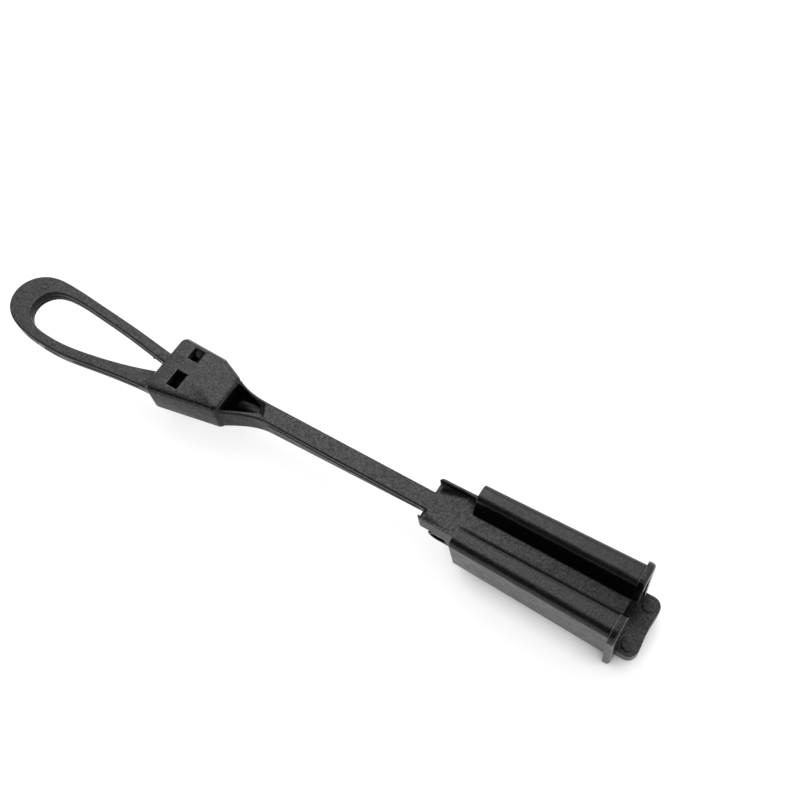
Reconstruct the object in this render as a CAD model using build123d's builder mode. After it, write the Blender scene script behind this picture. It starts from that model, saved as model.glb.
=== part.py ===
from build123d import *
import os
from math import acos, asin, atan2, cos, degrees, hypot, sin, tan

os.makedirs("parts", exist_ok=True)

# Drop cable clamp of three mouldings: a tapered shell with rolled lips, a shim that lies on
# its back wall, and a wedge carrying a strap, a lock head and an opening loop.
# X runs from the loop to the wide end of the shell, Z stands out of the slot between the lips.
# The origin is the middle of the shell's flat back face.

# Shell
shell_length = 58.2
shell_narrow = 22.0
shell_wide = 25.0
lip_top_narrow = 23.7
lip_top_wide = 25.4
lip_round_narrow = 2.6
lip_round_wide = 2.9
shell_wall = 2.3
back_corner = 2.6
back_skim = 0.12
slot_width = 5.2
flange_thickness = 2.4
flange_rim = 2.3
flange_edge = 0.6

# Running clearances
lip_gap = 0.3
side_gap = 0.6
seat_gap = 0.1
tab_gap = 0.2
arm_gap = 0.5

# Shim and its pull tab
shim_thickness = 2.2
shim_overhang = 1.2
tooth_pitch = 3.0
tooth_depth = 0.7
tooth_count = 17
tab_length = 6.1
tab_width = 21.6
tab_thickness = 4.3
tab_corner = 3.4
tab_waist = 0.4
bump_radius = 2.0
bump_height = 0.8
bump_spacing = 14.4
bump_setback = 3.6

# Strap, tail plate and wedge
strap_width = 7.0
strap_thickness = 4.7
strap_face = 14.8
edge_round = 0.6
plate_end = -44.0
plate_corner = 1.6
wedge_end = 26.5
rail_width = 1.1
rail_height_narrow = 3.6
rail_height_wide = 5.4
spine_width = 9.2
spine_start = -27.0
block_start = -37.4
block_length = 5.8
block_height = 3.4
block_round = 2.2
tie_slot_length = 3.6
tie_slot_width = 1.5
tie_slot_depth = 3.0
rail_end_round = 1.5

# Lock head
head_loop_end = -155.8
head_strap_end = -126.0
head_depth = 13.2
head_front = 18.0
head_wall = 1.9
head_plate = 2.5
head_far = 9.9
head_near_loop = -15.4
head_near_strap = -9.9
head_far_strap = 5.4
head_shoulder_length = 10.0
head_shoulder = 9.4
head_corner = 2.5
head_front_edge = 1.2
head_back_edge = 0.5
window_length = 5.0
window_setback = 7.2
window_far = (2.6, 7.8)
window_near = (-9.8, -2.8)
gate_far = 3.7
gate_near = -1.0
gate_arm = -3.2
ledge_length = 11.8
ledge_thickness = 2.5
bridge_length = 10.6
bridge_thickness = 2.2
bridge_inset = 0.7
bridge_hole = (2.8, 3.2)
bridge_hole_setback = 2.6
bridge_hole_middle = -8.0
hook_length = 6.2
hook_width = 6.8
hook_middle = -1.4
hook_inset = 0.8

# Flare of the strap into the head, thicker towards it, with a stepped pocket on both faces
flare_start = -108.0
flare_far = ((-121.0, 4.1), (-127.0, 6.0))
flare_near = ((-118.0, -5.4), (-127.0, -9.4))
flare_drop = 4.3
flare_slope = 0.3
pocket_corners = ((-126.0, 4.4), (-114.2, 1.0), (-113.8, -2.1), (-126.0, -7.4))
island_corners = ((-122.3, -0.6), (-114.0, 1.0), (-113.6, -2.1), (-122.3, -3.6))
pocket_depth = 2.8
island_depth = 0.8
pocket_web = 1.1

# Loop, outer and inner edge from the fixed arm round the tip to the free arm
loop_outer = (
    (-154.6, -13.9), (-169.1, -15.1), (-182.4, -16.9), (-196.4, -18.6), (-210.8, -18.1),
    (-222.1, -15.6), (-228.8, -10.5), (-230.9, -4.2), (-228.3, 2.9), (-222.2, 6.9),
    (-213.0, 7.8), (-195.4, 6.5), (-176.8, 4.8), (-158.6, 2.6), (-143.7, 0.9),
)
loop_inner = (
    (-143.7, -3.3), (-161.9, -1.3), (-179.0, 1.0), (-195.8, 2.6), (-209.4, 3.1),
    (-216.1, 1.3), (-219.5, -3.0), (-219.2, -8.3), (-215.0, -12.5), (-207.5, -14.3),
    (-198.0, -14.5), (-184.0, -12.8), (-169.7, -9.8), (-154.6, -5.3),
)
arm_bump_at = (-168.2, 1.7)
arm_bump_radius = 1.0
arm_ridge_at = (-164.7, 1.3)
arm_ridge = (0.8, 4.6, 0.5)

# Derived levels and stations
shell_start = -shell_length / 2
flange_end = shell_length / 2
flange_start = flange_end - flange_thickness
lip_tip = strap_face + lip_gap
strap_back = strap_face - strap_thickness
shim_face = shell_wall + shim_thickness
wedge_seat = shim_face + seat_gap
head_back = head_front - head_depth
head_floor = head_front - head_plate
flare_back = strap_back - flare_drop
block_back = strap_back - block_height
pocket_back = strap_face - pocket_depth - pocket_web
wedge_half_narrow = shell_narrow / 2 - shell_wall - side_gap
wedge_half_wide = shell_wide / 2 - shell_wall - side_gap


def across(x):
    """Plane square to the clamp's length, with Y to the right and Z up."""
    return Plane(origin=(x, 0, 0), x_dir=(0, 1, 0), z_dir=(1, 0, 0))


def plan(level, corners):
    """Straight-edged outline lying level at one height."""
    with BuildSketch(Plane.XY.offset(level)) as outline:
        with BuildLine():
            Polyline(*corners, close=True)
        make_face()
    return outline.sketch


def shell_section(x, width, top, lip_round, rim):
    """Closed C of one wall thickness: flat back, upright sides and lips rolled into the slot."""
    half = width / 2
    roll_y = half - lip_round
    roll_z = top - lip_round
    tip_y = slot_width / 2
    rise = hypot(roll_y - tip_y, roll_z - lip_tip)
    flank = atan2(roll_z - lip_tip, roll_y - tip_y) + asin(lip_round / rise)
    inside = lip_round - shell_wall
    sweep = degrees(flank) + 90
    rim_sweep = sweep - degrees(acos(lip_round / (lip_round + rim)))
    inner_end = (roll_y - inside * sin(flank), roll_z + inside * cos(flank))
    inner_tip = (inner_end[0] - (inner_end[1] - lip_tip) / tan(flank), lip_tip)
    with BuildSketch(across(x)) as section:
        with BuildLine():
            Line((0, -back_skim - rim), (half - back_corner, -back_skim - rim))
            CenterArc((half - back_corner, back_corner - back_skim), back_corner + rim, -90, 90)
            Line((half + rim, back_corner - back_skim), (half + rim, roll_z))
            roll = CenterArc((roll_y, roll_z), lip_round + rim, 0, rim_sweep)
            Line(roll @ 1, (tip_y, lip_tip))
            Line((tip_y, lip_tip), inner_tip)
            Line(inner_tip, inner_end)
            CenterArc((roll_y, roll_z), inside, sweep, -sweep)
            Line((half - shell_wall, roll_z), (half - shell_wall, back_corner))
            CenterArc((half - back_corner, back_corner), back_corner - shell_wall, 0, -90)
            Line((half - back_corner, shell_wall), (0, shell_wall))
            Line((0, shell_wall), (0, -back_skim - rim))
        make_face()
        mirror(about=Plane.YZ)
    return section.sketch


def wedge_section(x, half, rail_height):
    """Channel of the wedge: a flat plate with a rail along each edge."""
    rail_top = strap_face + rail_height
    with BuildSketch(across(x)) as section:
        with BuildLine():
            Polyline(
                (-half, strap_back), (half, strap_back), (half, rail_top),
                (half - rail_width, rail_top), (half - rail_width, strap_face),
                (rail_width - half, strap_face), (rail_width - half, rail_top),
                (-half, rail_top), close=True,
            )
        make_face()
    return section.sketch


def head_outline(level, inset):
    """Plan of the lock head, drawn in by one wall where it is hollow."""
    with BuildSketch(Plane.XY.offset(level)) as outline:
        with BuildLine():
            FilletPolyline(
                (head_loop_end, head_near_loop), (head_strap_end, head_near_strap),
                (head_strap_end, head_far_strap),
                (head_strap_end - head_shoulder_length, head_shoulder),
                (head_loop_end, head_far),
                radius=head_corner, close=True,
            )
        make_face()
        if inset > 0:
            offset(amount=-inset, kind=Kind.INTERSECTION)
    return outline.sketch


# Shell: lofted between its two ends, with the flange round the wide one
narrow_section = shell_section(shell_start, shell_narrow, lip_top_narrow, lip_round_narrow, 0)
wide_section = shell_section(flange_start, shell_wide, lip_top_wide, lip_round_wide, 0)
flange_section = shell_section(flange_start, shell_wide, lip_top_wide, lip_round_wide, flange_rim)

with BuildPart() as shell:
    loft([narrow_section, wide_section], ruled=True)
    split(bisect_by=Plane.XY, keep=Keep.TOP)
    extrude(flange_section, amount=flange_thickness)
    flange_face = shell.faces().sort_by(Axis.X)[-1]
    flange_rims = flange_face.edges().filter_by(lambda e: abs(e.center().Y) > slot_width)
    chamfer(flange_rims & flange_face.outer_wire().edges(), length=flange_edge)
shell.part.label = "shell"
export_step(shell.part, "parts/shell.step")

# Shim: a tapered plate on the back wall, toothed towards the cable, with a pull tab outside
shim_start = shell_start - shim_overhang
tab_start = flange_end + tab_gap
tab_end = tab_start + tab_length

with BuildPart() as shim:
    shim_corners = (
        (shim_start, -wedge_half_narrow), (tab_start, -wedge_half_wide),
        (tab_start, wedge_half_wide), (shim_start, wedge_half_narrow),
    )
    extrude(plan(shell_wall, shim_corners), amount=shim_thickness)
    with BuildSketch(Plane.XZ):
        with Locations((0, shim_face)):
            with GridLocations(tooth_pitch, 0, tooth_count, 1):
                Polygon((-tooth_depth, 0), (tooth_depth, 0), (0, -tooth_depth), align=None)
    extrude(amount=shell_wide, both=True, mode=Mode.SUBTRACT)
    with BuildSketch(Plane.XY.offset(shim_face)) as tab:
        with BuildLine():
            Line((tab_start, -tab_width / 2), (tab_end - tab_corner, -tab_width / 2))
            CenterArc((tab_end - tab_corner, tab_corner - tab_width / 2), tab_corner, -90, 90)
            Spline(
                (tab_end, tab_corner - tab_width / 2), (tab_end - tab_waist, 0),
                (tab_end, tab_width / 2 - tab_corner), tangents=((0, 1), (0, 1)),
            )
            CenterArc((tab_end - tab_corner, tab_width / 2 - tab_corner), tab_corner, 0, 90)
            Line((tab_end - tab_corner, tab_width / 2), (tab_start, tab_width / 2))
            Line((tab_start, tab_width / 2), (tab_start, -tab_width / 2))
        make_face()
    extrude(amount=-tab_thickness)
    with BuildSketch(Plane.XY.offset(shim_face)):
        with Locations((tab_end - bump_setback, 0)):
            with GridLocations(0, bump_spacing, 1, 2):
                Circle(bump_radius)
    extrude(amount=bump_height)
shim.part.label = "shim"
export_step(shim.part, "parts/shim.step")

# Strap: a flat bar with rounded edges that flares and thickens into the lock head
with BuildPart() as strap:
    with BuildSketch(Plane.XY.offset(flare_back)):
        with BuildLine():
            Line((plate_end + plate_corner, strap_width / 2), (flare_start, strap_width / 2))
            far = Spline(
                (flare_start, strap_width / 2), flare_far[0], flare_far[1],
                tangents=((-1, 0), (-1, 0.5)),
            )
            Line(far @ 1, flare_near[1])
            near = Spline(
                flare_near[1], flare_near[0], (flare_start, -strap_width / 2),
                tangents=((1, 0.55), (1, 0)),
            )
            Line(near @ 1, (plate_end + plate_corner, -strap_width / 2))
            Line(
                (plate_end + plate_corner, -strap_width / 2),
                (plate_end + plate_corner, strap_width / 2),
            )
        make_face()
    extrude(amount=strap_face - flare_back)
    with BuildSketch(Plane.XZ):
        with BuildLine():
            Spline(
                (flare_start, strap_back), (flare_far[1][0], flare_back),
                tangents=((-1, 0), (-1, -flare_slope)),
            )
            Polyline(
                (flare_far[1][0], flare_back), (plate_end + plate_corner, flare_back),
                (plate_end + plate_corner, strap_back), (flare_start, strap_back),
            )
        make_face()
    extrude(amount=strap_width * 2, both=True, mode=Mode.SUBTRACT)
    rims = strap.edges() - strap.edges().filter_by(Axis.Y) - strap.edges().filter_by(Axis.Z)
    fillet(rims, radius=edge_round)
    # Front pocket with a raised island, and a plain pocket behind it
    extrude(plan(strap_face, pocket_corners), amount=-pocket_depth, mode=Mode.SUBTRACT)
    extrude(plan(strap_face - pocket_depth, island_corners), amount=pocket_depth - island_depth)
    extrude(plan(flare_back, pocket_corners), amount=pocket_back - flare_back, mode=Mode.SUBTRACT)

# Loop: fixed arm, rounded tip and free arm
with BuildPart() as loop:
    with BuildSketch(Plane.XY.offset(strap_back)):
        with BuildLine():
            outer = Spline(*loop_outer)
            Line(outer @ 1, loop_inner[0])
            inner = Spline(*loop_inner)
            Line(inner @ 1, loop_outer[0])
        make_face()
    extrude(amount=strap_thickness)
    fillet(loop.faces().filter_by(Axis.Z).edges().filter_by(GeomType.BSPLINE), radius=edge_round)
    with Locations((arm_bump_at[0], arm_bump_at[1], strap_back)):
        Sphere(arm_bump_radius)
    with Locations((arm_ridge_at[0], arm_ridge_at[1], strap_back)):
        Box(*arm_ridge)

# Wedge: channel with rails under the shell's lips, spine on the shim, strap, lock head and loop
with BuildPart() as wedge:
    tail_section = wedge_section(plate_end, wedge_half_narrow, rail_height_narrow)
    extrude(tail_section, amount=shell_start - plate_end)
    fillet(
        wedge.edges().filter_by(Axis.Z).group_by(Axis.X)[0].sort_by(Axis.Y)[0:1]
        + wedge.edges().filter_by(Axis.Z).group_by(Axis.X)[0].sort_by(Axis.Y)[-1:],
        radius=plate_corner,
    )
    rail_ends = wedge.edges().filter_by(Axis.Y).group_by(Axis.X)[0].group_by(Axis.Z)[-1]
    fillet(rail_ends, radius=rail_end_round)
    loft(
        [
            wedge_section(shell_start, wedge_half_narrow, rail_height_narrow),
            wedge_section(wedge_end, wedge_half_wide, rail_height_wide),
        ],
        ruled=True,
    )
    spine_corners = (
        (spine_start, -spine_width / 2), (wedge_end, -spine_width / 2),
        (wedge_end, spine_width / 2), (spine_start, spine_width / 2),
    )
    extrude(plan(wedge_seat, spine_corners), amount=strap_back - wedge_seat)
    # Block behind the tail plate, rounded on its outer side, with a slot for a tie in each end
    block_corners = (
        (block_start, -wedge_half_narrow), (block_start + block_length, -wedge_half_narrow),
        (block_start + block_length, wedge_half_narrow), (block_start, wedge_half_narrow),
    )
    extrude(plan(block_back, block_corners), amount=block_height)
    block_rims = wedge.faces().filter_by_position(Axis.Z, block_back, block_back).edges()
    fillet(block_rims.filter_by(Axis.Y).sort_by(Axis.X)[0], radius=block_round)
    for side in (-1, 1):
        with BuildSketch(Plane.XZ.offset(side * wedge_half_narrow)):
            with Locations((block_start + block_length / 2, block_back + block_height / 2)):
                SlotOverall(tie_slot_length, tie_slot_width)
        extrude(amount=-side * tie_slot_depth, mode=Mode.SUBTRACT)
    # Hollow lock head with chamfered rims
    extrude(head_outline(head_back, 0), amount=head_depth)
    head_faces = wedge.faces().filter_by(Plane.XY).group_by(Axis.X)[0].sort_by(Axis.Z)
    chamfer(head_faces[-1].edges(), length=head_front_edge)
    head_faces = wedge.faces().filter_by(Plane.XY).group_by(Axis.X)[0].sort_by(Axis.Z)
    chamfer(head_faces[0].edges(), length=head_back_edge)
    extrude(head_outline(head_back, head_wall), amount=head_floor - head_back, mode=Mode.SUBTRACT)
    # Ledge and bridge over the cavity, on both sides of the gate for the free arm
    with BuildSketch(Plane.XY.offset(head_back)):
        with Locations((head_loop_end, gate_far)):
            Rectangle(ledge_length, head_far, align=(Align.MIN, Align.MIN))
        add(head_outline(head_back, head_wall / 2), mode=Mode.INTERSECT)
    extrude(amount=ledge_thickness)
    with BuildSketch(Plane.XY.offset(head_back + bridge_inset)):
        with Locations((head_loop_end, gate_near)):
            Rectangle(bridge_length, -head_near_loop, align=(Align.MIN, Align.MAX))
        add(head_outline(head_back + bridge_inset, head_wall / 2), mode=Mode.INTERSECT)
        with Locations((head_loop_end + bridge_hole_setback, bridge_hole_middle)):
            Rectangle(*bridge_hole, mode=Mode.SUBTRACT)
    extrude(amount=bridge_thickness)
    # Gate through the end wall, open at the back and wider where the arm runs
    with BuildSketch(Plane.XY.offset(head_back)):
        with Locations((head_loop_end, gate_near)):
            Rectangle(head_wall * 2, gate_far - gate_near, align=(Align.CENTER, Align.MIN))
    extrude(amount=head_floor - head_back, mode=Mode.SUBTRACT)
    with BuildSketch(Plane.XY.offset(strap_back - arm_gap)):
        with Locations((head_loop_end, gate_far)):
            Rectangle(head_wall * 2, gate_far - gate_arm, align=(Align.CENTER, Align.MAX))
    extrude(amount=head_floor - strap_back + arm_gap, mode=Mode.SUBTRACT)
    # Windows through the front plate
    with BuildSketch(Plane.XY.offset(head_floor)):
        for low, high in (window_far, window_near):
            with Locations((head_loop_end + window_setback, low)):
                Rectangle(window_length, high - low, align=Align.MIN)
    extrude(amount=head_plate, mode=Mode.SUBTRACT)
    # Strap, loop and the hook that ends the free arm behind the bridge
    add(strap.part)
    add(loop.part)
    with BuildSketch(Plane.XY.offset(head_back + hook_inset)):
        with Locations((head_loop_end + bridge_length + arm_gap, hook_middle)):
            Rectangle(hook_length, hook_width, align=(Align.MIN, Align.CENTER))
    extrude(amount=strap_face - head_back - hook_inset)
wedge.part.label = "wedge"
export_step(wedge.part, "parts/wedge.step")
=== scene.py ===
"""Drop cable clamp: mouldings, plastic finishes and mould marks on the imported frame, in a small studio."""

import math

import bmesh
import bpy
from mathutils import Matrix, Vector, noise


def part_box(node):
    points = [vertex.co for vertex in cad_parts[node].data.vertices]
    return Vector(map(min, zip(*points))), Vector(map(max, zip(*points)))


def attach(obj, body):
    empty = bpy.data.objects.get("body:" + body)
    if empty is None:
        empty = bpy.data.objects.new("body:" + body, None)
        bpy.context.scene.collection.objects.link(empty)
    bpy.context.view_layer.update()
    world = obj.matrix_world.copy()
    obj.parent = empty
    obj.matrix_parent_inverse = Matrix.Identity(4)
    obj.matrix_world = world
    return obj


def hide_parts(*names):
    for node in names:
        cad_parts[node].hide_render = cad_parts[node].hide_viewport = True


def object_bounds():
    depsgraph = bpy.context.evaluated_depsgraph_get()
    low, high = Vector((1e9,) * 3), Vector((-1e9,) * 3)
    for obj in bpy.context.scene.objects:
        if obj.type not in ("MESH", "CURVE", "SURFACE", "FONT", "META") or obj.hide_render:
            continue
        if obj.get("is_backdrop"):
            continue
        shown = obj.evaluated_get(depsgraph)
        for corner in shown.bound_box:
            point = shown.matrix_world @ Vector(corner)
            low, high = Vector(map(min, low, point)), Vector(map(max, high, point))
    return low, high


bl_info = {
    "name": "Drop cable clamp",
    "version": (1, 0, 0),
    "blender": (4, 5, 0),
    "location": "View3D > Sidebar > Clamp",
    "description": "Mouldings, finishes, mould marks and studio of a drop cable clamp",
    "category": "Object",
}

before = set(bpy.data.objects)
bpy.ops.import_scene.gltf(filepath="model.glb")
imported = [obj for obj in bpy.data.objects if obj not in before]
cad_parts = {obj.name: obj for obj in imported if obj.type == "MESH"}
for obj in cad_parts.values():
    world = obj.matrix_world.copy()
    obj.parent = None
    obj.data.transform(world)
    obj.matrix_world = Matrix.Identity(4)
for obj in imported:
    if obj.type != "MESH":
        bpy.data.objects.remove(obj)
CAD_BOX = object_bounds()

# Shell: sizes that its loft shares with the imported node, in metres
SHELL_WALL = 0.0023
SLOT_HALF = 0.0026
LIP_TIP = 0.0151
BACK_HALF_NARROW = 0.0110
BACK_HALF_WIDE = 0.0125
BACK_CORNER = 0.0026
INNER_CORNER = 0.0003
FLANGE_THICKNESS = 0.0024

# Shell: rounding of the flange's lower corners, as measured
FLANGE_CORNER = 0.0020

# Steps along the arcs of the shell's outline, and the place of the slot's edge in it
CORNER_STEPS = 10
LIP_STEPS = 14
INNER_LIP_STEPS = 6
INNER_CORNER_STEPS = 4
FLANGE_STEPS = 4
SLOT_EDGE = CORNER_STEPS + 2 * LIP_STEPS + 4

# Wedge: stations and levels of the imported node, in metres
WEDGE_END = 0.0265
SHELL_MOUTH = -0.0291
TAIL_END = -0.0440
FLARE_START = -0.1080
POCKET_END = -0.1130
HEAD_END = -0.1260
FLARE_END = -0.1270
STRAP_FACE = 0.0148
STRAP_BACK = 0.0101
ISLAND_TOP = 0.0140
POCKET_FLOOR = 0.0120
POCKET_BACK = 0.0109
POCKET_WEB = 0.0011
FLARE_DROP = 0.0043
FLARE_LAG = 0.0057
RAIL_NARROW = 0.0036
RAIL_GAIN = 0.0018
TIE_SLOT_MIDDLE = (-0.0345, 0.0084)
TIE_SLOT_REACH = (0.00181, 0.00076)

# Wedge: what its measured form changes
BLOCK_MIDDLE = -0.0360
BLOCK_STRETCH = (1.38, 1.44)
TIE_SLOT_STRETCH = 1.2
ISLAND_SUNK = 0.0003

# Plastic: how one measure turns into another, as from low, from high, to low, to high
EDGE_RANGE = (0.995, 0.86, 0.0, 1.0)
TEXTURE_RANGE = (0.35, 0.9, 0.12, 1.0)
# Shine of upright sides below: painted shade on the sides
SIDE_SHADE_RANGE = (0.1, 0.6, 0.34, 1.0)
# Shine kept against occlusion below: painted shade in recesses
RECESS_SHADE_RANGE = (0.42, 0.68, 0.03, 1.0)
SHADE_RANGE = (0.35, 0.65, 0.0, 1.0)
# Edge lightening below: a painted highlight along the edges, with some rubbed wear
WEAR_AND_HIGHLIGHT_RANGE = (0.35, 0.65, 0.15, 0.9)

# Plastic: stretches of the textures that are used, and the spread of shade and roughness over them
GRAIN_STRETCH = (0.34, 0.68)
RUB_STRETCH = (0.3, 0.7)
SHADE_SPREAD = (0.5, 1.6)
ROUGH_SPREAD = (-0.08, 0.12)

# Plastic: mean of the specular level, and how far each moulding's textures lie from the last one's
MEAN_SHINE = 0.43
TEXTURE_STRIDE = (0.31, 0.17, 0.23)

# Shortest mould line that is laid
SHORTEST_LINE = 0.002

# Round marks: rings and points round them, level of the middle in reliefs, place and width of the
# rim in radii, and waves of unevenness to a metre
MARK_RINGS = 7
MARK_AROUND = 40
MARK_MIDDLE = 0.3
MARK_RIM = 0.8
MARK_RIM_WIDTH = 0.1
MARK_WAVES = 2600

# Distances within which points count as one, as on a face, on one level and at one station
SAME_POINT = 1e-6
ON_FACE = 0.00001
SAME_LEVEL = 0.00003
SAME_STATION = 0.0001

# Distance from which a point lies clear under the strap
UNDER_STRAP = 0.0004

# Angle in degrees from which a moulded edge stays sharp
SHARP_ANGLE = 32


class ClampPlastic(bpy.types.PropertyGroup):
    """Finish of the black mouldings."""

    colour: bpy.props.FloatVectorProperty(
        name="Colour", description="Black of the plastic", subtype="COLOR",
        size=3, min=0.0, max=1.0, default=(0.0032, 0.0032, 0.0042),
    )
    # Lighter colour along the edges: a painted highlight along every moulded edge, with some rubbed wear
    rubbed_and_highlight: bpy.props.FloatVectorProperty(
        name="Rubbed edges", description="Colour of edges that handling has rubbed", subtype="COLOR",
        size=3, min=0.0, max=1.0, default=(0.3, 0.3, 0.31),
    )
    roughness: bpy.props.FloatProperty(
        name="Roughness", description="Roughness of the moulded skin", subtype="FACTOR",
        min=0.0, max=1.0, default=0.25,
    )
    grain_size: bpy.props.FloatProperty(
        name="Grain size", description="Width of one grain of the mould's texture",
        unit="LENGTH", min=0.0, precision=5, default=0.00065,
    )
    grain_depth: bpy.props.FloatProperty(
        name="Grain depth", description="Height of the mould's texture",
        unit="LENGTH", min=0.0, precision=6, default=0.0001,
    )
    sink_size: bpy.props.FloatProperty(
        name="Sink size", description="Width of the shallow waves that cooling leaves",
        unit="LENGTH", min=0.0, precision=4, default=0.005,
    )
    sink_depth: bpy.props.FloatProperty(
        name="Sink depth", description="Height of the shallow waves that cooling leaves",
        unit="LENGTH", min=0.0, precision=6, default=0.0002,
    )
    # Reach of the painted shade in recesses
    recess_shade_reach: bpy.props.FloatProperty(
        name="Recess reach", description="Distance within which facing walls darken a recess",
        unit="LENGTH", min=0.0, precision=4, default=0.005,
    )
    edge_radius: bpy.props.FloatProperty(
        name="Edge radius", description="Rounding seen along every moulded edge",
        unit="LENGTH", min=0.0, precision=5, default=0.00042,
    )


class ClampForms(bpy.types.PropertyGroup):
    """Forms of the shell and the wedge as they were measured for the looks."""

    lips_narrow: bpy.props.FloatProperty(
        name="Lips, narrow end", description="Width over the shell's lips at its narrow end",
        unit="LENGTH", min=0.0, precision=5, default=0.0240,
    )
    lips_wide: bpy.props.FloatProperty(
        name="Lips, wide end", description="Width over the shell's lips at its wide end",
        unit="LENGTH", min=0.0, precision=5, default=0.0264,
    )
    top_narrow: bpy.props.FloatProperty(
        name="Top, narrow end", description="Height of the lips over the shell's back at its narrow end",
        unit="LENGTH", min=0.0, precision=5, default=0.0218,
    )
    top_wide: bpy.props.FloatProperty(
        name="Top, wide end", description="Height of the lips over the shell's back at its wide end",
        unit="LENGTH", min=0.0, precision=5, default=0.0223,
    )
    lip_round: bpy.props.FloatProperty(
        name="Lip rounding", description="Radius of both roundings over each lip",
        unit="LENGTH", min=0.0, precision=5, default=0.0028,
    )
    lip_crest: bpy.props.FloatProperty(
        name="Lip crest", description="Distance from the slot's middle to where a lip turns down",
        unit="LENGTH", min=0.0, precision=5, default=0.0074,
    )
    flange_rim: bpy.props.FloatProperty(
        name="Flange rim", description="How far the flange stands out over the lips and the sides",
        unit="LENGTH", min=0.0, precision=5, default=0.0014,
    )
    flange_foot: bpy.props.FloatProperty(
        name="Flange foot", description="How far the flange stands out under the shell's back",
        unit="LENGTH", min=0.0, precision=5, default=0.0042,
    )
    flange_round: bpy.props.FloatProperty(
        name="Flange rounding", description="Rounding of the flange's outer edge",
        unit="LENGTH", min=0.0, precision=5, default=0.0011,
    )
    rail_tail: bpy.props.FloatProperty(
        name="Rails, tail", description="Height of the wedge's rails at the tail end",
        unit="LENGTH", min=0.0, precision=5, default=0.0024,
    )
    rail_wide: bpy.props.FloatProperty(
        name="Rails, wide end", description="Height of the wedge's rails at the wide end",
        unit="LENGTH", min=0.0, precision=5, default=0.0038,
    )
    strap_tail: bpy.props.FloatProperty(
        name="Strap depth, tail", description="Depth of the strap where it leaves the tail plate",
        unit="LENGTH", min=0.0, precision=5, default=0.0036,
    )
    strap_head: bpy.props.FloatProperty(
        name="Strap depth, head", description="Depth of the strap where it meets the lock head",
        unit="LENGTH", min=0.0, precision=5, default=0.0098,
    )
    pocket_depth: bpy.props.FloatProperty(
        name="Pocket depth", description="Depth of the stepped pocket in the strap's flare",
        unit="LENGTH", min=0.0, precision=5, default=0.0060,
    )


class ClampMarks(bpy.types.PropertyGroup):
    """Lines and marks that the mould leaves."""

    line_level: bpy.props.FloatProperty(
        name="Line level", description="Height over the shell's back at which the wedge's mould parts",
        unit="LENGTH", min=0.0, precision=5, default=0.01245,
    )
    line_height: bpy.props.FloatProperty(
        name="Line height", description="Height of the line where the mould parts",
        unit="LENGTH", min=0.0, precision=5, default=0.0006,
    )
    line_proud: bpy.props.FloatProperty(
        name="Line proud", description="How far the parting line stands out",
        unit="LENGTH", min=0.0, precision=5, default=0.0002,
    )
    gate_radius: bpy.props.FloatProperty(
        name="Gate radius", description="Radius of the scar where the plastic was fed in",
        unit="LENGTH", min=0.0, precision=5, default=0.0016,
    )
    pin_radius: bpy.props.FloatProperty(
        name="Pin radius", description="Radius of the mark that an ejector pin leaves",
        unit="LENGTH", min=0.0, precision=5, default=0.0017,
    )
    relief: bpy.props.FloatProperty(
        name="Relief", description="Height of the gate scar and the pin mark",
        unit="LENGTH", min=0.0, precision=6, default=0.00022,
    )


class ClampStudio(bpy.types.PropertyGroup):
    """Floor, light and camera."""

    floor_colour: bpy.props.FloatVectorProperty(
        name="Floor", description="Colour of the floor", subtype="COLOR",
        size=3, min=0.0, max=1.0, default=(0.4, 0.4, 0.4),
    )
    floor_lift: bpy.props.FloatProperty(
        name="Floor lift", description="Brightness added to the floor where it is seen",
        min=0.0, default=0.8,
    )
    key_power: bpy.props.FloatProperty(
        name="Key light", description="Power of the soft box over the far side",
        unit="POWER", min=0.0, default=4.0,
    )
    room_bright: bpy.props.FloatProperty(
        name="Bright wall", description="Brightness of the room beyond the clamp",
        min=0.0, default=1.1,
    )
    room_dark: bpy.props.FloatProperty(
        name="Dark wall", description="Brightness of the room on the camera's side",
        min=0.0, default=0.13,
    )
    lens: bpy.props.FloatProperty(
        name="Lens", description="Focal length of the camera on a 36 mm sensor",
        unit="CAMERA", min=1.0, default=44.907,
    )


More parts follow.
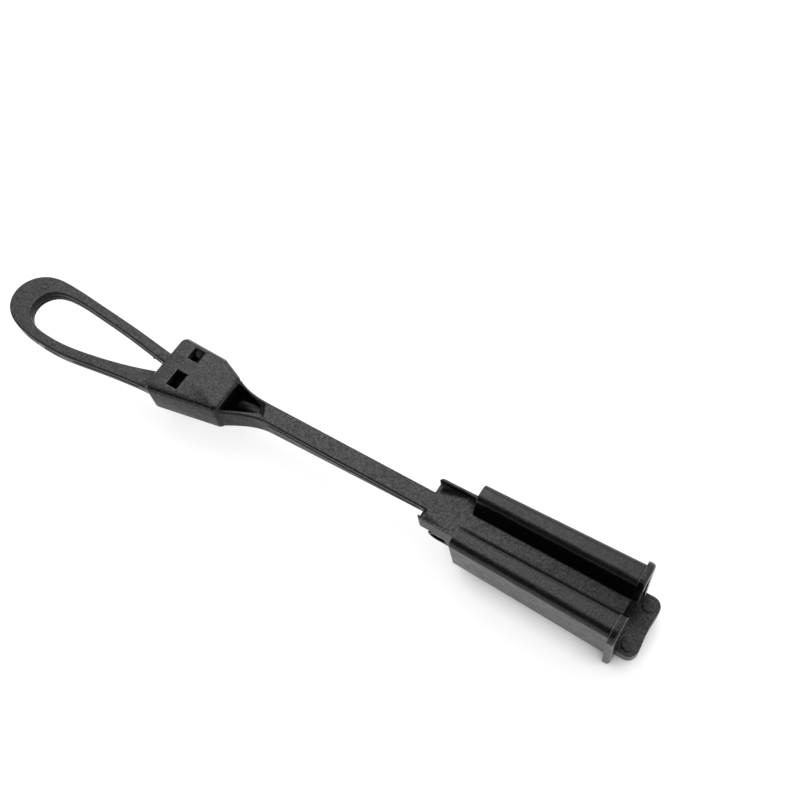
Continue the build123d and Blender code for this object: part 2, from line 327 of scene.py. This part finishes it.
def black_plastic(name, seed, gloss, speckle):
    """Moulded black plastic: fine grain, shallow sinks, uneven gloss, painted shade in recesses and on
    upright sides, and edges lit by a painted highlight with some rubbed wear.
    """
    finish = bpy.context.scene.clamp_plastic
    plastic = bpy.data.materials.new(name)
    plastic.use_nodes = True
    nodes = plastic.node_tree.nodes
    link = plastic.node_tree.links.new
    shader = nodes["Principled BSDF"]

    place = nodes.new("ShaderNodeTexCoord")
    spot = nodes.new("ShaderNodeVectorMath")
    spot.operation = "ADD"
    spot.inputs[1].default_value = [stride * seed for stride in TEXTURE_STRIDE]
    link(place.outputs["Object"], spot.inputs[0])

    def cloud(size, detail, rough):
        texture = nodes.new("ShaderNodeTexNoise")
        texture.inputs["Scale"].default_value = 1.0 / size
        texture.inputs["Detail"].default_value = detail
        texture.inputs["Roughness"].default_value = rough
        link(spot.outputs["Vector"], texture.inputs["Vector"])
        return texture.outputs["Fac"]

    def remap(value, low, high, new_low, new_high):
        span = nodes.new("ShaderNodeMapRange")
        span.inputs["From Min"].default_value = low
        span.inputs["From Max"].default_value = high
        span.inputs["To Min"].default_value = new_low
        span.inputs["To Max"].default_value = new_high
        link(value, span.inputs["Value"])
        return span.outputs["Result"]

    def times(first, second):
        product = nodes.new("ShaderNodeMath")
        product.operation = "MULTIPLY"
        link(first, product.inputs[0])
        link(second, product.inputs[1])
        return product.outputs["Value"]

    def bump(height, depth, normal):
        relief = nodes.new("ShaderNodeBump")
        relief.inputs["Strength"].default_value = 1.0
        relief.inputs["Distance"].default_value = depth
        link(height, relief.inputs["Height"])
        link(normal, relief.inputs["Normal"])
        return relief.outputs["Normal"]

    # Rounded look of every edge, and how far a spot lies on an edge
    rounding = nodes.new("ShaderNodeBevel")
    rounding.samples = 6
    rounding.inputs["Radius"].default_value = finish.edge_radius
    surface = nodes.new("ShaderNodeNewGeometry")
    turn = nodes.new("ShaderNodeVectorMath")
    turn.operation = "DOT_PRODUCT"
    link(rounding.outputs["Normal"], turn.inputs[0])
    link(surface.outputs["Normal"], turn.inputs[1])
    edge = remap(turn.outputs["Value"], *EDGE_RANGE)

    # The mould's texture lies on the faces that look up or down, the drawn sides are plain
    facing = nodes.new("ShaderNodeSeparateXYZ")
    link(surface.outputs["Normal"], facing.inputs["Vector"])
    level = nodes.new("ShaderNodeMath")
    level.operation = "ABSOLUTE"
    link(facing.outputs["Z"], level.inputs[0])
    textured = remap(level.outputs["Value"], *TEXTURE_RANGE)

    # Painted shade in recesses: occlusion cuts the shine there, so recesses are painted dark while open
    # faces shine
    recess_shade = nodes.new("ShaderNodeAmbientOcclusion")
    recess_shade.samples = 8
    recess_shade.inputs["Distance"].default_value = finish.recess_shade_reach
    unshaded_share = remap(recess_shade.outputs["AO"], *RECESS_SHADE_RANGE)

    grain = cloud(finish.grain_size, detail=4.0, rough=0.65)
    sinks = cloud(finish.sink_size, detail=2.0, rough=0.5)
    rub_and_highlight_noise = cloud(finish.sink_size / 2, detail=5.0, rough=0.7)

    shade = nodes.new("ShaderNodeMix")
    shade.data_type = "RGBA"
    for side, share in zip("AB", SHADE_SPREAD):
        shade.inputs[side].default_value = (*(share * c for c in finish.colour), 1.0)
    link(remap(grain, *SHADE_RANGE), shade.inputs["Factor"])
    # Edges lighten towards the rubbed colour in noisy patches: a painted highlight along the edges, with
    # some rubbed wear
    wear_and_highlight = nodes.new("ShaderNodeMix")
    wear_and_highlight.data_type = "RGBA"
    wear_and_highlight.inputs["B"].default_value = (*finish.rubbed_and_highlight, 1.0)
    link(times(edge, remap(rub_and_highlight_noise, *WEAR_AND_HIGHLIGHT_RANGE)), wear_and_highlight.inputs["Factor"])
    link(shade.outputs["Result"], wear_and_highlight.inputs["A"])
    link(wear_and_highlight.outputs["Result"], shader.inputs["Base Color"])

    rough_range = [finish.roughness + spread - gloss for spread in ROUGH_SPREAD]
    link(remap(rub_and_highlight_noise, *RUB_STRETCH, *rough_range), shader.inputs["Roughness"])
    # Upright sides shine less than the faces that look up or down: painted shade on the sides
    side_shade = remap(level.outputs["Value"], *SIDE_SHADE_RANGE)
    spots = remap(grain, *GRAIN_STRETCH, MEAN_SHINE - speckle, MEAN_SHINE + speckle)
    shine = times(times(spots, unshaded_share), side_shade)
    link(shine, shader.inputs["Specular IOR Level"])
    waves = bump(sinks, finish.sink_depth, rounding.outputs["Normal"])
    link(bump(times(grain, textured), finish.grain_depth, waves), shader.inputs["Normal"])
    return plastic


def add_piece(name, mesh, body):
    """Links a finished mesh as a piece of one moulding, in that moulding's plastic."""
    piece = bpy.data.objects.new(name, mesh)
    bpy.context.scene.collection.objects.link(piece)
    mesh.materials.append(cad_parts[body].data.materials[0])
    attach(piece, body)
    return piece


def level_rims(node, level):
    """Closed chains of (point, outward direction) where a level plane cuts a moulding."""
    cut = bmesh.new()
    cut.from_mesh(node.data)
    bmesh.ops.remove_doubles(cut, verts=cut.verts, dist=SAME_POINT)
    everything = cut.verts[:] + cut.edges[:] + cut.faces[:]
    found = bmesh.ops.bisect_plane(
        cut, geom=everything, plane_co=(0, 0, level), plane_no=(0, 0, 1), clear_outer=True,
    )
    rims = dict.fromkeys(item for item in found["geom_cut"] if isinstance(item, bmesh.types.BMEdge))
    chains = []
    while rims:
        first = next(iter(rims))
        del rims[first]
        chain = list(first.verts)
        onward = first
        while onward:
            onward = next((rim for rim in chain[-1].link_edges if rim in rims), None)
            if onward:
                del rims[onward]
                chain.append(onward.other_vert(chain[-1]))
        stations = []
        for vertex in chain:
            outward = Vector((0, 0, 0))
            for face in vertex.link_faces:
                outward += face.normal
            outward.z = 0
            stations.append((vertex.co.copy(), outward.normalized()))
        chains.append(stations)
    cut.free()
    return chains


def run_length(run):
    """Length along a run."""
    return sum((onward[0] - station[0]).length for station, onward in zip(run, run[1:]))


def runs_between(stations, low, high):
    """Stretches of a chain that lie between two stations along the clamp, without crumbs."""
    dense = stations[:1]
    for (point, outward), (onward, turned) in zip(stations, stations[1:]):
        for limit in sorted((low, high), reverse=point.x > onward.x):
            if min(point.x, onward.x) < limit < max(point.x, onward.x):
                share = (limit - point.x) / (onward.x - point.x)
                dense.append((point.lerp(onward, share), outward.lerp(turned, share).normalized()))
        dense.append((onward, turned))
    runs = [[]]
    for point, outward in dense:
        if low - SAME_POINT <= point.x <= high + SAME_POINT:
            runs[-1].append((point, outward))
        elif runs[-1]:
            runs.append([])
    return [run for run in runs if run_length(run) > SHORTEST_LINE]


def bead_mesh(name, run, height, proud):
    """Low bead along a run: a sunk foot and a narrower crown at each station."""
    foot, crown = height / 2, height / 5
    profile = ((-proud, -foot), (proud, -crown), (proud, crown), (-proud, foot))
    corners = len(profile)
    bead = bmesh.new()
    rings = []
    for point, outward in run:
        rings.append([bead.verts.new(point + out * outward + Vector((0, 0, up))) for out, up in profile])
    for ring, onward in zip(rings, rings[1:]):
        for k in range(corners):
            after = (k + 1) % corners
            bead.faces.new((ring[k], onward[k], onward[after], ring[after]))
    bead.faces.new(rings[0])
    bead.faces.new(reversed(rings[-1]))
    bmesh.ops.recalc_face_normals(bead, faces=bead.faces)
    mesh = bpy.data.meshes.new(name)
    bead.to_mesh(mesh)
    bead.free()
    return mesh


def mark_mesh(name, centre, radius, relief, rough):
    """Round mark on a level face: a raised rim round a sunken, uneven middle."""
    mark = bmesh.new()
    top = mark.verts.new(centre + Vector((0, 0, relief * MARK_MIDDLE)))
    circles = []
    for ring in range(1, MARK_RINGS + 1):
        share = ring / MARK_RINGS
        circle = []
        for step in range(MARK_AROUND):
            angle = math.tau * step / MARK_AROUND
            spot = centre + Vector((math.cos(angle), math.sin(angle), 0)) * radius * share
            uneven = rough * noise.noise(spot * MARK_WAVES)
            rim = math.exp(-((share - MARK_RIM) / MARK_RIM_WIDTH) ** 2)
            height = relief * (MARK_MIDDLE + rim + uneven) if ring < MARK_RINGS else -relief
            circle.append(mark.verts.new(spot + Vector((0, 0, height))))
        circles.append(circle)
    for step in range(MARK_AROUND):
        onward = (step + 1) % MARK_AROUND
        mark.faces.new((top, circles[0][step], circles[0][onward]))
        for inner, outer in zip(circles, circles[1:]):
            mark.faces.new((inner[step], outer[step], outer[onward], inner[onward]))
    for face in mark.faces:
        face.smooth = True
    mesh = bpy.data.meshes.new(name)
    mark.to_mesh(mesh)
    mark.free()
    return mesh


def arc_points(centre, radius, start, end, steps):
    """Points (y, z) along an arc, angles in degrees."""
    points = []
    for step in range(steps + 1):
        angle = math.radians(start + (end - start) * step / steps)
        points.append((centre[0] + radius * math.cos(angle), centre[1] + radius * math.sin(angle)))
    return points


def shell_outline(forms, half, lip_half, top, rim, foot, corner):
    """Closed C across the shell: flat back, leaning sides, and lips rolled over and down to the slot."""
    bend, crest = forms.lip_round, forms.lip_crest
    level = top - bend
    inside = bend - SHELL_WALL
    slope = math.atan2(level - LIP_TIP, crest - SLOT_HALF)
    slope += math.asin(bend / math.hypot(crest - SLOT_HALF, level - LIP_TIP))
    turn = math.degrees(slope)
    rim_turn = turn - math.degrees(math.acos(bend / (bend + rim)))
    inner_y = crest - inside * math.sin(slope)
    inner_z = level + inside * math.cos(slope)
    loop = [(0.0, -foot)]
    loop += arc_points((half + rim - corner, corner - foot), corner, -90, 0, CORNER_STEPS)
    loop += arc_points((lip_half - bend, level), bend + rim, 0, 90, LIP_STEPS)
    loop += arc_points((crest, level), bend + rim, 90, 90 + rim_turn, LIP_STEPS)
    loop += [(SLOT_HALF, LIP_TIP), (inner_y - (inner_z - LIP_TIP) / math.tan(slope), LIP_TIP)]
    loop += arc_points((crest, level), inside, 90 + turn, 90, INNER_LIP_STEPS)
    loop += arc_points((lip_half - bend, level), inside, 90, 0, INNER_LIP_STEPS)
    loop += arc_points((half - BACK_CORNER, BACK_CORNER), INNER_CORNER, 0, -90, INNER_CORNER_STEPS)
    loop.append((0.0, SHELL_WALL))
    return loop + [(-y, z) for y, z in reversed(loop[1:-1])]


def close_end(loft, ring):
    """Closes an end of the shell with a band from its outer to its inner outline, on both sides."""
    middle = len(ring) // 2
    for side in (ring, [ring[0]] + ring[:0:-1]):
        outer = side[:SLOT_EDGE + 1]
        inner = side[middle:SLOT_EDGE:-1]
        i = j = 0
        while i < len(outer) - 1 or j < len(inner) - 1:
            ahead = behind = math.inf
            if i < len(outer) - 1:
                ahead = (outer[i + 1].co - inner[j].co).length
            if j < len(inner) - 1:
                behind = (outer[i].co - inner[j + 1].co).length
            if ahead <= behind:
                loft.faces.new((outer[i], outer[i + 1], inner[j]))
                i += 1
            else:
                loft.faces.new((outer[i], inner[j + 1], inner[j]))
                j += 1


def lofted_mesh(name, stations):
    """Closed mesh through outlines that stand square to the clamp's length."""
    loft = bmesh.new()
    rings = [[loft.verts.new((x, y, z)) for y, z in outline] for x, outline in stations]
    for ring, onward in zip(rings, rings[1:]):
        for k in range(len(ring)):
            after = (k + 1) % len(ring)
            loft.faces.new((ring[k], ring[after], onward[after], onward[k]))
    close_end(loft, rings[0])
    close_end(loft, rings[-1])
    return smoothed_mesh(name, loft)


def smoothed_mesh(name, form):
    """Mesh of a finished form: joined points, outward faces, smooth up to its moulded edges."""
    bmesh.ops.remove_doubles(form, verts=form.verts, dist=SAME_POINT)
    bmesh.ops.recalc_face_normals(form, faces=form.faces)
    mesh = bpy.data.meshes.new(name)
    form.to_mesh(mesh)
    form.free()
    mesh.shade_smooth()
    mesh.set_sharp_from_angle(angle=math.radians(SHARP_ANGLE))
    return mesh


def keep_faces_flat(piece):
    """Lets broad faces shade flat, so that only the roundings between them shade round."""
    weighted = piece.modifiers.new("flat_faces", "WEIGHTED_NORMAL")
    weighted.mode = "FACE_AREA"
    weighted.weight = 100
    weighted.keep_sharp = True


def between(x, first, last):
    """Share of the way from one value to another, held at both ends."""
    return min(max((x - first) / (last - first), 0.0), 1.0)


def rail_level(x, z, forms):
    """Height of a point of the wedge's rails once they have their measured height."""
    packed = RAIL_NARROW + RAIL_GAIN * between(x, SHELL_MOUTH, WEDGE_END)
    # At the shell's mouth the rails have four sevenths of their rise
    mouth = (forms.rail_tail * 3 + forms.rail_wide * 4) / 7
    risen = forms.rail_tail + (mouth - forms.rail_tail) * between(x, TAIL_END, SHELL_MOUTH)
    risen += (forms.rail_wide - mouth) * between(x, SHELL_MOUTH, WEDGE_END)
    return STRAP_FACE + (z - STRAP_FACE) * risen / packed


def tail_place(x, z, forms):
    """Station and height of a point of the tail plate and of the block behind it."""
    if z > STRAP_BACK - ON_FACE:
        return x, STRAP_FACE - (STRAP_FACE - z) * forms.strap_tail / (STRAP_FACE - STRAP_BACK)
    off_x = x - TIE_SLOT_MIDDLE[0]
    off_z = TIE_SLOT_MIDDLE[1] - z
    if abs(off_x) < TIE_SLOT_REACH[0] and abs(off_z) < TIE_SLOT_REACH[1]:
        off_x *= TIE_SLOT_STRETCH
        off_z *= TIE_SLOT_STRETCH
    below_plate = STRAP_BACK - TIE_SLOT_MIDDLE[1] + off_z
    level = STRAP_FACE - forms.strap_tail - below_plate * BLOCK_STRETCH[1]
    return BLOCK_MIDDLE + off_x * BLOCK_STRETCH[0], level


def strap_level(x, z, forms):
    """Height of a point of the strap, its flare and the pocket with the island in it."""
    if x < POCKET_END:
        if abs(z - POCKET_FLOOR) < SAME_LEVEL:
            return STRAP_FACE - forms.pocket_depth
        if abs(z - ISLAND_TOP) < SAME_LEVEL:
            return STRAP_FACE - ISLAND_SUNK
        if abs(z - POCKET_BACK) < SAME_LEVEL:
            return STRAP_FACE - forms.pocket_depth - POCKET_WEB
    flared = between(x, FLARE_START, FLARE_END)
    packed = STRAP_BACK - FLARE_DROP * (3 - 2 * flared) * flared ** 2
    packed += FLARE_LAG * (flared ** 2 - flared ** 3)
    # Points well under the strap belong to the lock head
    if z <= packed - UNDER_STRAP:
        return z
    depth = forms.strap_tail + (forms.strap_head - forms.strap_tail) * between(x, TAIL_END, HEAD_END)
    return STRAP_FACE - (STRAP_FACE - z) * depth / (STRAP_FACE - packed)


def wedge_point(point, forms):
    """Place of a point of the wedge once rails, tail, strap and pocket have their measured depths."""
    x, y, z = point
    if x > TAIL_END - SAME_STATION and z > STRAP_FACE + ON_FACE:
        z = rail_level(x, z, forms)
    elif TAIL_END - SAME_STATION < x < SHELL_MOUTH + SAME_STATION:
        x, z = tail_place(x, z, forms)
    elif HEAD_END - 3 * SAME_STATION < x <= TAIL_END and z < STRAP_FACE:
        z = strap_level(x, z, forms)
    return Vector((x, y, z))


class CLAMP_OT_plastics(bpy.types.Operator):
    """Gives the shell, the shim and the wedge their moulded black plastic"""

    bl_idname = "clamp.plastics"
    bl_label = "Plastics"

    # Moulding, how much smoother than the rest its skin is, and how far its shine varies
    skins = (("shell", 0.04, 0.13), ("shim", 0.0, 0.23), ("wedge", 0.0, 0.23))

    def execute(self, context):
        for seed, (name, gloss, speckle) in enumerate(self.skins, 1):
            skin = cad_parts[name].data.materials
            skin.clear()
            skin.append(black_plastic(name + "_plastic", seed, gloss, speckle))
        return {"FINISHED"}


class CLAMP_OT_shell_moulding(bpy.types.Operator):
    """Lofts the shell with its rolled lips and the flange round its wide end"""

    bl_idname = "clamp.shell_moulding"
    bl_label = "Shell moulding"

    def execute(self, context):
        forms = context.scene.clamp_forms
        rim, foot = forms.flange_rim, forms.flange_foot
        narrow_end = (forms, BACK_HALF_NARROW, forms.lips_narrow / 2, forms.top_narrow)
        wide_end = (forms, BACK_HALF_WIDE, forms.lips_wide / 2, forms.top_wide)
        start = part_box("shell")[0].x
        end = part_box("shell")[1].x
        stations = [
            (start, shell_outline(*narrow_end, 0, 0, BACK_CORNER)),
            (end - FLANGE_THICKNESS, shell_outline(*wide_end, 0, 0, BACK_CORNER)),
            (end - FLANGE_THICKNESS, shell_outline(*wide_end, rim, foot, FLANGE_CORNER)),
        ]
        for step in range(FLANGE_STEPS + 1):
            angle = math.radians(90 * step / FLANGE_STEPS)
            drawn = forms.flange_round * (1 - math.cos(angle))
            outline = shell_outline(*wide_end, rim - drawn, foot - drawn, FLANGE_CORNER)
            stations.append((end - forms.flange_round * (1 - math.sin(angle)), outline))
        piece = add_piece("shell_moulding", lofted_mesh("shell_moulding", stations), "shell")
        keep_faces_flat(piece)
        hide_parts("shell")
        return {"FINISHED"}


class CLAMP_OT_wedge_moulding(bpy.types.Operator):
    """Gives the wedge the measured depths of its rails, tail block, strap and pocket"""

    bl_idname = "clamp.wedge_moulding"
    bl_label = "Wedge moulding"

    def execute(self, context):
        forms = context.scene.clamp_forms
        form = bmesh.new()
        form.from_mesh(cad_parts["wedge"].data)
        for vertex in form.verts:
            vertex.co = wedge_point(vertex.co, forms)
        piece = add_piece("wedge_moulding", smoothed_mesh("wedge_moulding", form), "wedge")
        keep_faces_flat(piece)
        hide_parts("wedge")
        return {"FINISHED"}


class CLAMP_OT_mould_lines(bpy.types.Operator):
    """Runs the line where the mould parts along the sides of the strap and the loop"""

    bl_idname = "clamp.mould_lines"
    bl_label = "Mould lines"

    # Stations along the clamp between which the strap and the loop lie bare
    stretches = {"strap": (-0.109, -0.046), "loop": (-0.3, -0.160)}

    def execute(self, context):
        marks = context.scene.clamp_marks
        chains = level_rims(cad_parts["wedge"], marks.line_level)
        for part, (low, high) in self.stretches.items():
            runs = [run for chain in chains for run in runs_between(chain, low, high)]
            if not runs:
                raise RuntimeError("the mould parts nowhere along the " + part)
            for count, run in enumerate(runs, 1):
                name = f"{part}_mould_line_{count}"
                add_piece(name, bead_mesh(name, run, marks.line_height, marks.line_proud), "wedge")
        return {"FINISHED"}


class CLAMP_OT_mould_marks(bpy.types.Operator):
    """Sets the gate scar on the lock head and the pin mark on the loop's tip"""

    bl_idname = "clamp.mould_marks"
    bl_label = "Mould marks"

    # Middle of each mark, and how uneven it is
    gate_middle = (-0.1505, 0.0010, 0.0180)
    gate_rough = 0.9
    pin_middle = (-0.2216, 0.0022, STRAP_FACE)
    pin_rough = 0.3

    def execute(self, context):
        marks = context.scene.clamp_marks
        spots = (
            ("gate_scar", self.gate_middle, marks.gate_radius, self.gate_rough),
            ("pin_mark", self.pin_middle, marks.pin_radius, self.pin_rough),
        )
        for name, centre, radius, rough in spots:
            add_piece(name, mark_mesh(name, Vector(centre), radius, marks.relief, rough), "wedge")
        return {"FINISHED"}


class CLAMP_OT_studio(bpy.types.Operator):
    """Lays the floor and sets the light and the camera"""

    bl_idname = "clamp.studio"
    bl_label = "Studio"

    # Floor: its radius, how near the clamp a painted shadow dims it, and the openness over which that fades
    floor_radius = 3.0
    painted_shadow_reach = 0.012
    painted_shadow_fade = (0.1, 0.75)

    # Soft box: its size, and its place from the clamp's middle
    box_size = 0.9
    box_offset = (-0.42, 0.46, 0.95)

    # Room: how far along y its walls turn from dark to bright, and how far up its pale band ends
    wall_fade = (-0.38, 0.2)
    band_fade = (0.12, 0.3)

    # Camera: its place and turn, as measured for the clamp's view
    camera_place = (0.04545, -0.10228, 0.31434)
    camera_turn = (
        (0.838769, -0.424876, 0.340511),
        (0.535288, 0.757929, -0.372841),
        (-0.099673, 0.494998, 0.863158),
    )

    def execute(self, context):
        studio = context.scene.clamp_studio
        self.lay_floor(context, studio)
        self.set_light(context, studio)
        self.fill_room(context, studio)
        self.set_camera(context, studio)
        context.scene.view_settings.view_transform = "Standard"
        return {"FINISHED"}

    def lay_floor(self, context, studio):
        disc = bmesh.new()
        bmesh.ops.create_circle(disc, cap_ends=True, radius=self.floor_radius, segments=96)
        mesh = bpy.data.meshes.new("floor")
        disc.to_mesh(mesh)
        disc.free()
        floor = bpy.data.objects.new("floor", mesh)
        floor.location.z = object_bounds()[0].z
        context.scene.collection.objects.link(floor)
        paper = bpy.data.materials.new("floor_paper")
        paper.use_nodes = True
        nodes = paper.node_tree.nodes
        link = paper.node_tree.links.new
        shader = nodes["Principled BSDF"]
        shader.inputs["Base Color"].default_value = (*studio.floor_colour, 1.0)
        shader.inputs["Roughness"].default_value = 0.9
        shader.inputs["Specular IOR Level"].default_value = 0.1
        shader.inputs["Emission Color"].default_value = (1.0, 1.0, 1.0, 1.0)
        seen = nodes.new("ShaderNodeLightPath")
        mirrored = nodes.new("ShaderNodeMath")
        mirrored.operation = "MAXIMUM"
        link(seen.outputs["Is Glossy Ray"], mirrored.inputs[0])
        link(seen.outputs["Is Transmission Ray"], mirrored.inputs[1])
        shown = nodes.new("ShaderNodeMath")
        shown.operation = "MAXIMUM"
        link(seen.outputs["Is Camera Ray"], shown.inputs[0])
        link(mirrored.outputs["Value"], shown.inputs[1])
        # The lift fades where the clamp covers the floor: a painted shadow, laid over the cast shadow
        open_floor = nodes.new("ShaderNodeAmbientOcclusion")
        open_floor.samples = 8
        open_floor.inputs["Distance"].default_value = self.painted_shadow_reach
        bright = nodes.new("ShaderNodeMapRange")
        bright.inputs["From Min"].default_value = self.painted_shadow_fade[0]
        bright.inputs["From Max"].default_value = self.painted_shadow_fade[1]
        bright.inputs["To Max"].default_value = studio.floor_lift
        link(open_floor.outputs["AO"], bright.inputs["Value"])
        lift = nodes.new("ShaderNodeMath")
        lift.operation = "MULTIPLY"
        link(bright.outputs["Result"], lift.inputs[1])
        link(shown.outputs["Value"], lift.inputs[0])
        link(lift.outputs["Value"], shader.inputs["Emission Strength"])
        mesh.materials.append(paper)
        floor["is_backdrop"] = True

    def set_light(self, context, studio):
        lamp = bpy.data.lights.new("key_box", "AREA")
        lamp.shape = "SQUARE"
        lamp.size = self.box_size
        lamp.energy = studio.key_power
        offset = Vector(self.box_offset)
        box = bpy.data.objects.new("key_box", lamp)
        box.location = (CAD_BOX[0] + CAD_BOX[1]) / 2 + offset
        box.rotation_euler = offset.to_track_quat("Z", "Y").to_euler()
        context.scene.collection.objects.link(box)

    def fill_room(self, context, studio):
        room = bpy.data.worlds.new("room")
        room.use_nodes = True
        nodes = room.node_tree.nodes
        link = room.node_tree.links.new
        toward = nodes.new("ShaderNodeTexCoord")
        parts = nodes.new("ShaderNodeSeparateXYZ")
        link(toward.outputs["Generated"], parts.inputs["Vector"])
        fade = nodes.new("ShaderNodeMapRange")
        fade.interpolation_type = "SMOOTHSTEP"
        fade.inputs["From Min"].default_value = self.wall_fade[0]
        fade.inputs["From Max"].default_value = self.wall_fade[1]
        fade.inputs["To Min"].default_value = studio.room_dark
        fade.inputs["To Max"].default_value = studio.room_bright
        link(parts.outputs["Y"], fade.inputs["Value"])
        # A pale band low round the room carries the floor on behind the clamp
        rise = nodes.new("ShaderNodeMapRange")
        rise.interpolation_type = "SMOOTHSTEP"
        rise.inputs["From Min"].default_value = self.band_fade[0]
        rise.inputs["From Max"].default_value = self.band_fade[1]
        link(parts.outputs["Z"], rise.inputs["Value"])
        walls = nodes.new("ShaderNodeMix")
        walls.data_type = "FLOAT"
        walls.inputs["A"].default_value = 1.0
        link(fade.outputs["Result"], walls.inputs["B"])
        link(rise.outputs["Result"], walls.inputs["Factor"])
        link(walls.outputs["Result"], nodes["Background"].inputs["Strength"])
        nodes["Background"].inputs["Color"].default_value = (1.0, 1.0, 1.0, 1.0)
        context.scene.world = room

    def set_camera(self, context, studio):
        data = bpy.data.cameras.new("camera")
        data.sensor_width = 36.0
        data.lens = studio.lens
        data.clip_start = 0.01
        camera = bpy.data.objects.new("camera", data)
        turned = Matrix(self.camera_turn).to_4x4()
        camera.matrix_world = Matrix.Translation(self.camera_place) @ turned
        context.scene.collection.objects.link(camera)
        context.scene.camera = camera


class CLAMP_PT_sidebar(bpy.types.Panel):
    """Sizes, colours and steps of the clamp"""

    bl_idname = "CLAMP_PT_sidebar"
    bl_label = "Drop cable clamp"
    bl_space_type = "VIEW_3D"
    bl_region_type = "UI"
    bl_category = "Clamp"

    def draw(self, context):
        scene = context.scene
        for group in (scene.clamp_plastic, scene.clamp_forms, scene.clamp_marks, scene.clamp_studio):
            box = self.layout.box()
            for name in group.bl_rna.properties.keys():
                if name not in ("rna_type", "name"):
                    box.prop(group, name)
        for step in STEPS:
            self.layout.operator(step.bl_idname)


GROUPS = (ClampPlastic, ClampForms, ClampMarks, ClampStudio)
STEPS = (
    CLAMP_OT_plastics,
    CLAMP_OT_shell_moulding,
    CLAMP_OT_wedge_moulding,
    CLAMP_OT_mould_lines,
    CLAMP_OT_mould_marks,
    CLAMP_OT_studio,
)


def register():
    for item in (*GROUPS, *STEPS, CLAMP_PT_sidebar):
        bpy.utils.register_class(item)
    bpy.types.Scene.clamp_plastic = bpy.props.PointerProperty(type=ClampPlastic)
    bpy.types.Scene.clamp_forms = bpy.props.PointerProperty(type=ClampForms)
    bpy.types.Scene.clamp_marks = bpy.props.PointerProperty(type=ClampMarks)
    bpy.types.Scene.clamp_studio = bpy.props.PointerProperty(type=ClampStudio)


def unregister():
    del bpy.types.Scene.clamp_studio
    del bpy.types.Scene.clamp_marks
    del bpy.types.Scene.clamp_forms
    del bpy.types.Scene.clamp_plastic
    for item in reversed((*GROUPS, *STEPS, CLAMP_PT_sidebar)):
        bpy.utils.unregister_class(item)


def main():
    register()
    bpy.ops.clamp.plastics()
    bpy.ops.clamp.shell_moulding()
    bpy.ops.clamp.wedge_moulding()
    bpy.ops.clamp.mould_lines()
    bpy.ops.clamp.mould_marks()
    bpy.ops.clamp.studio()


if __name__ == "__main__":
    main()
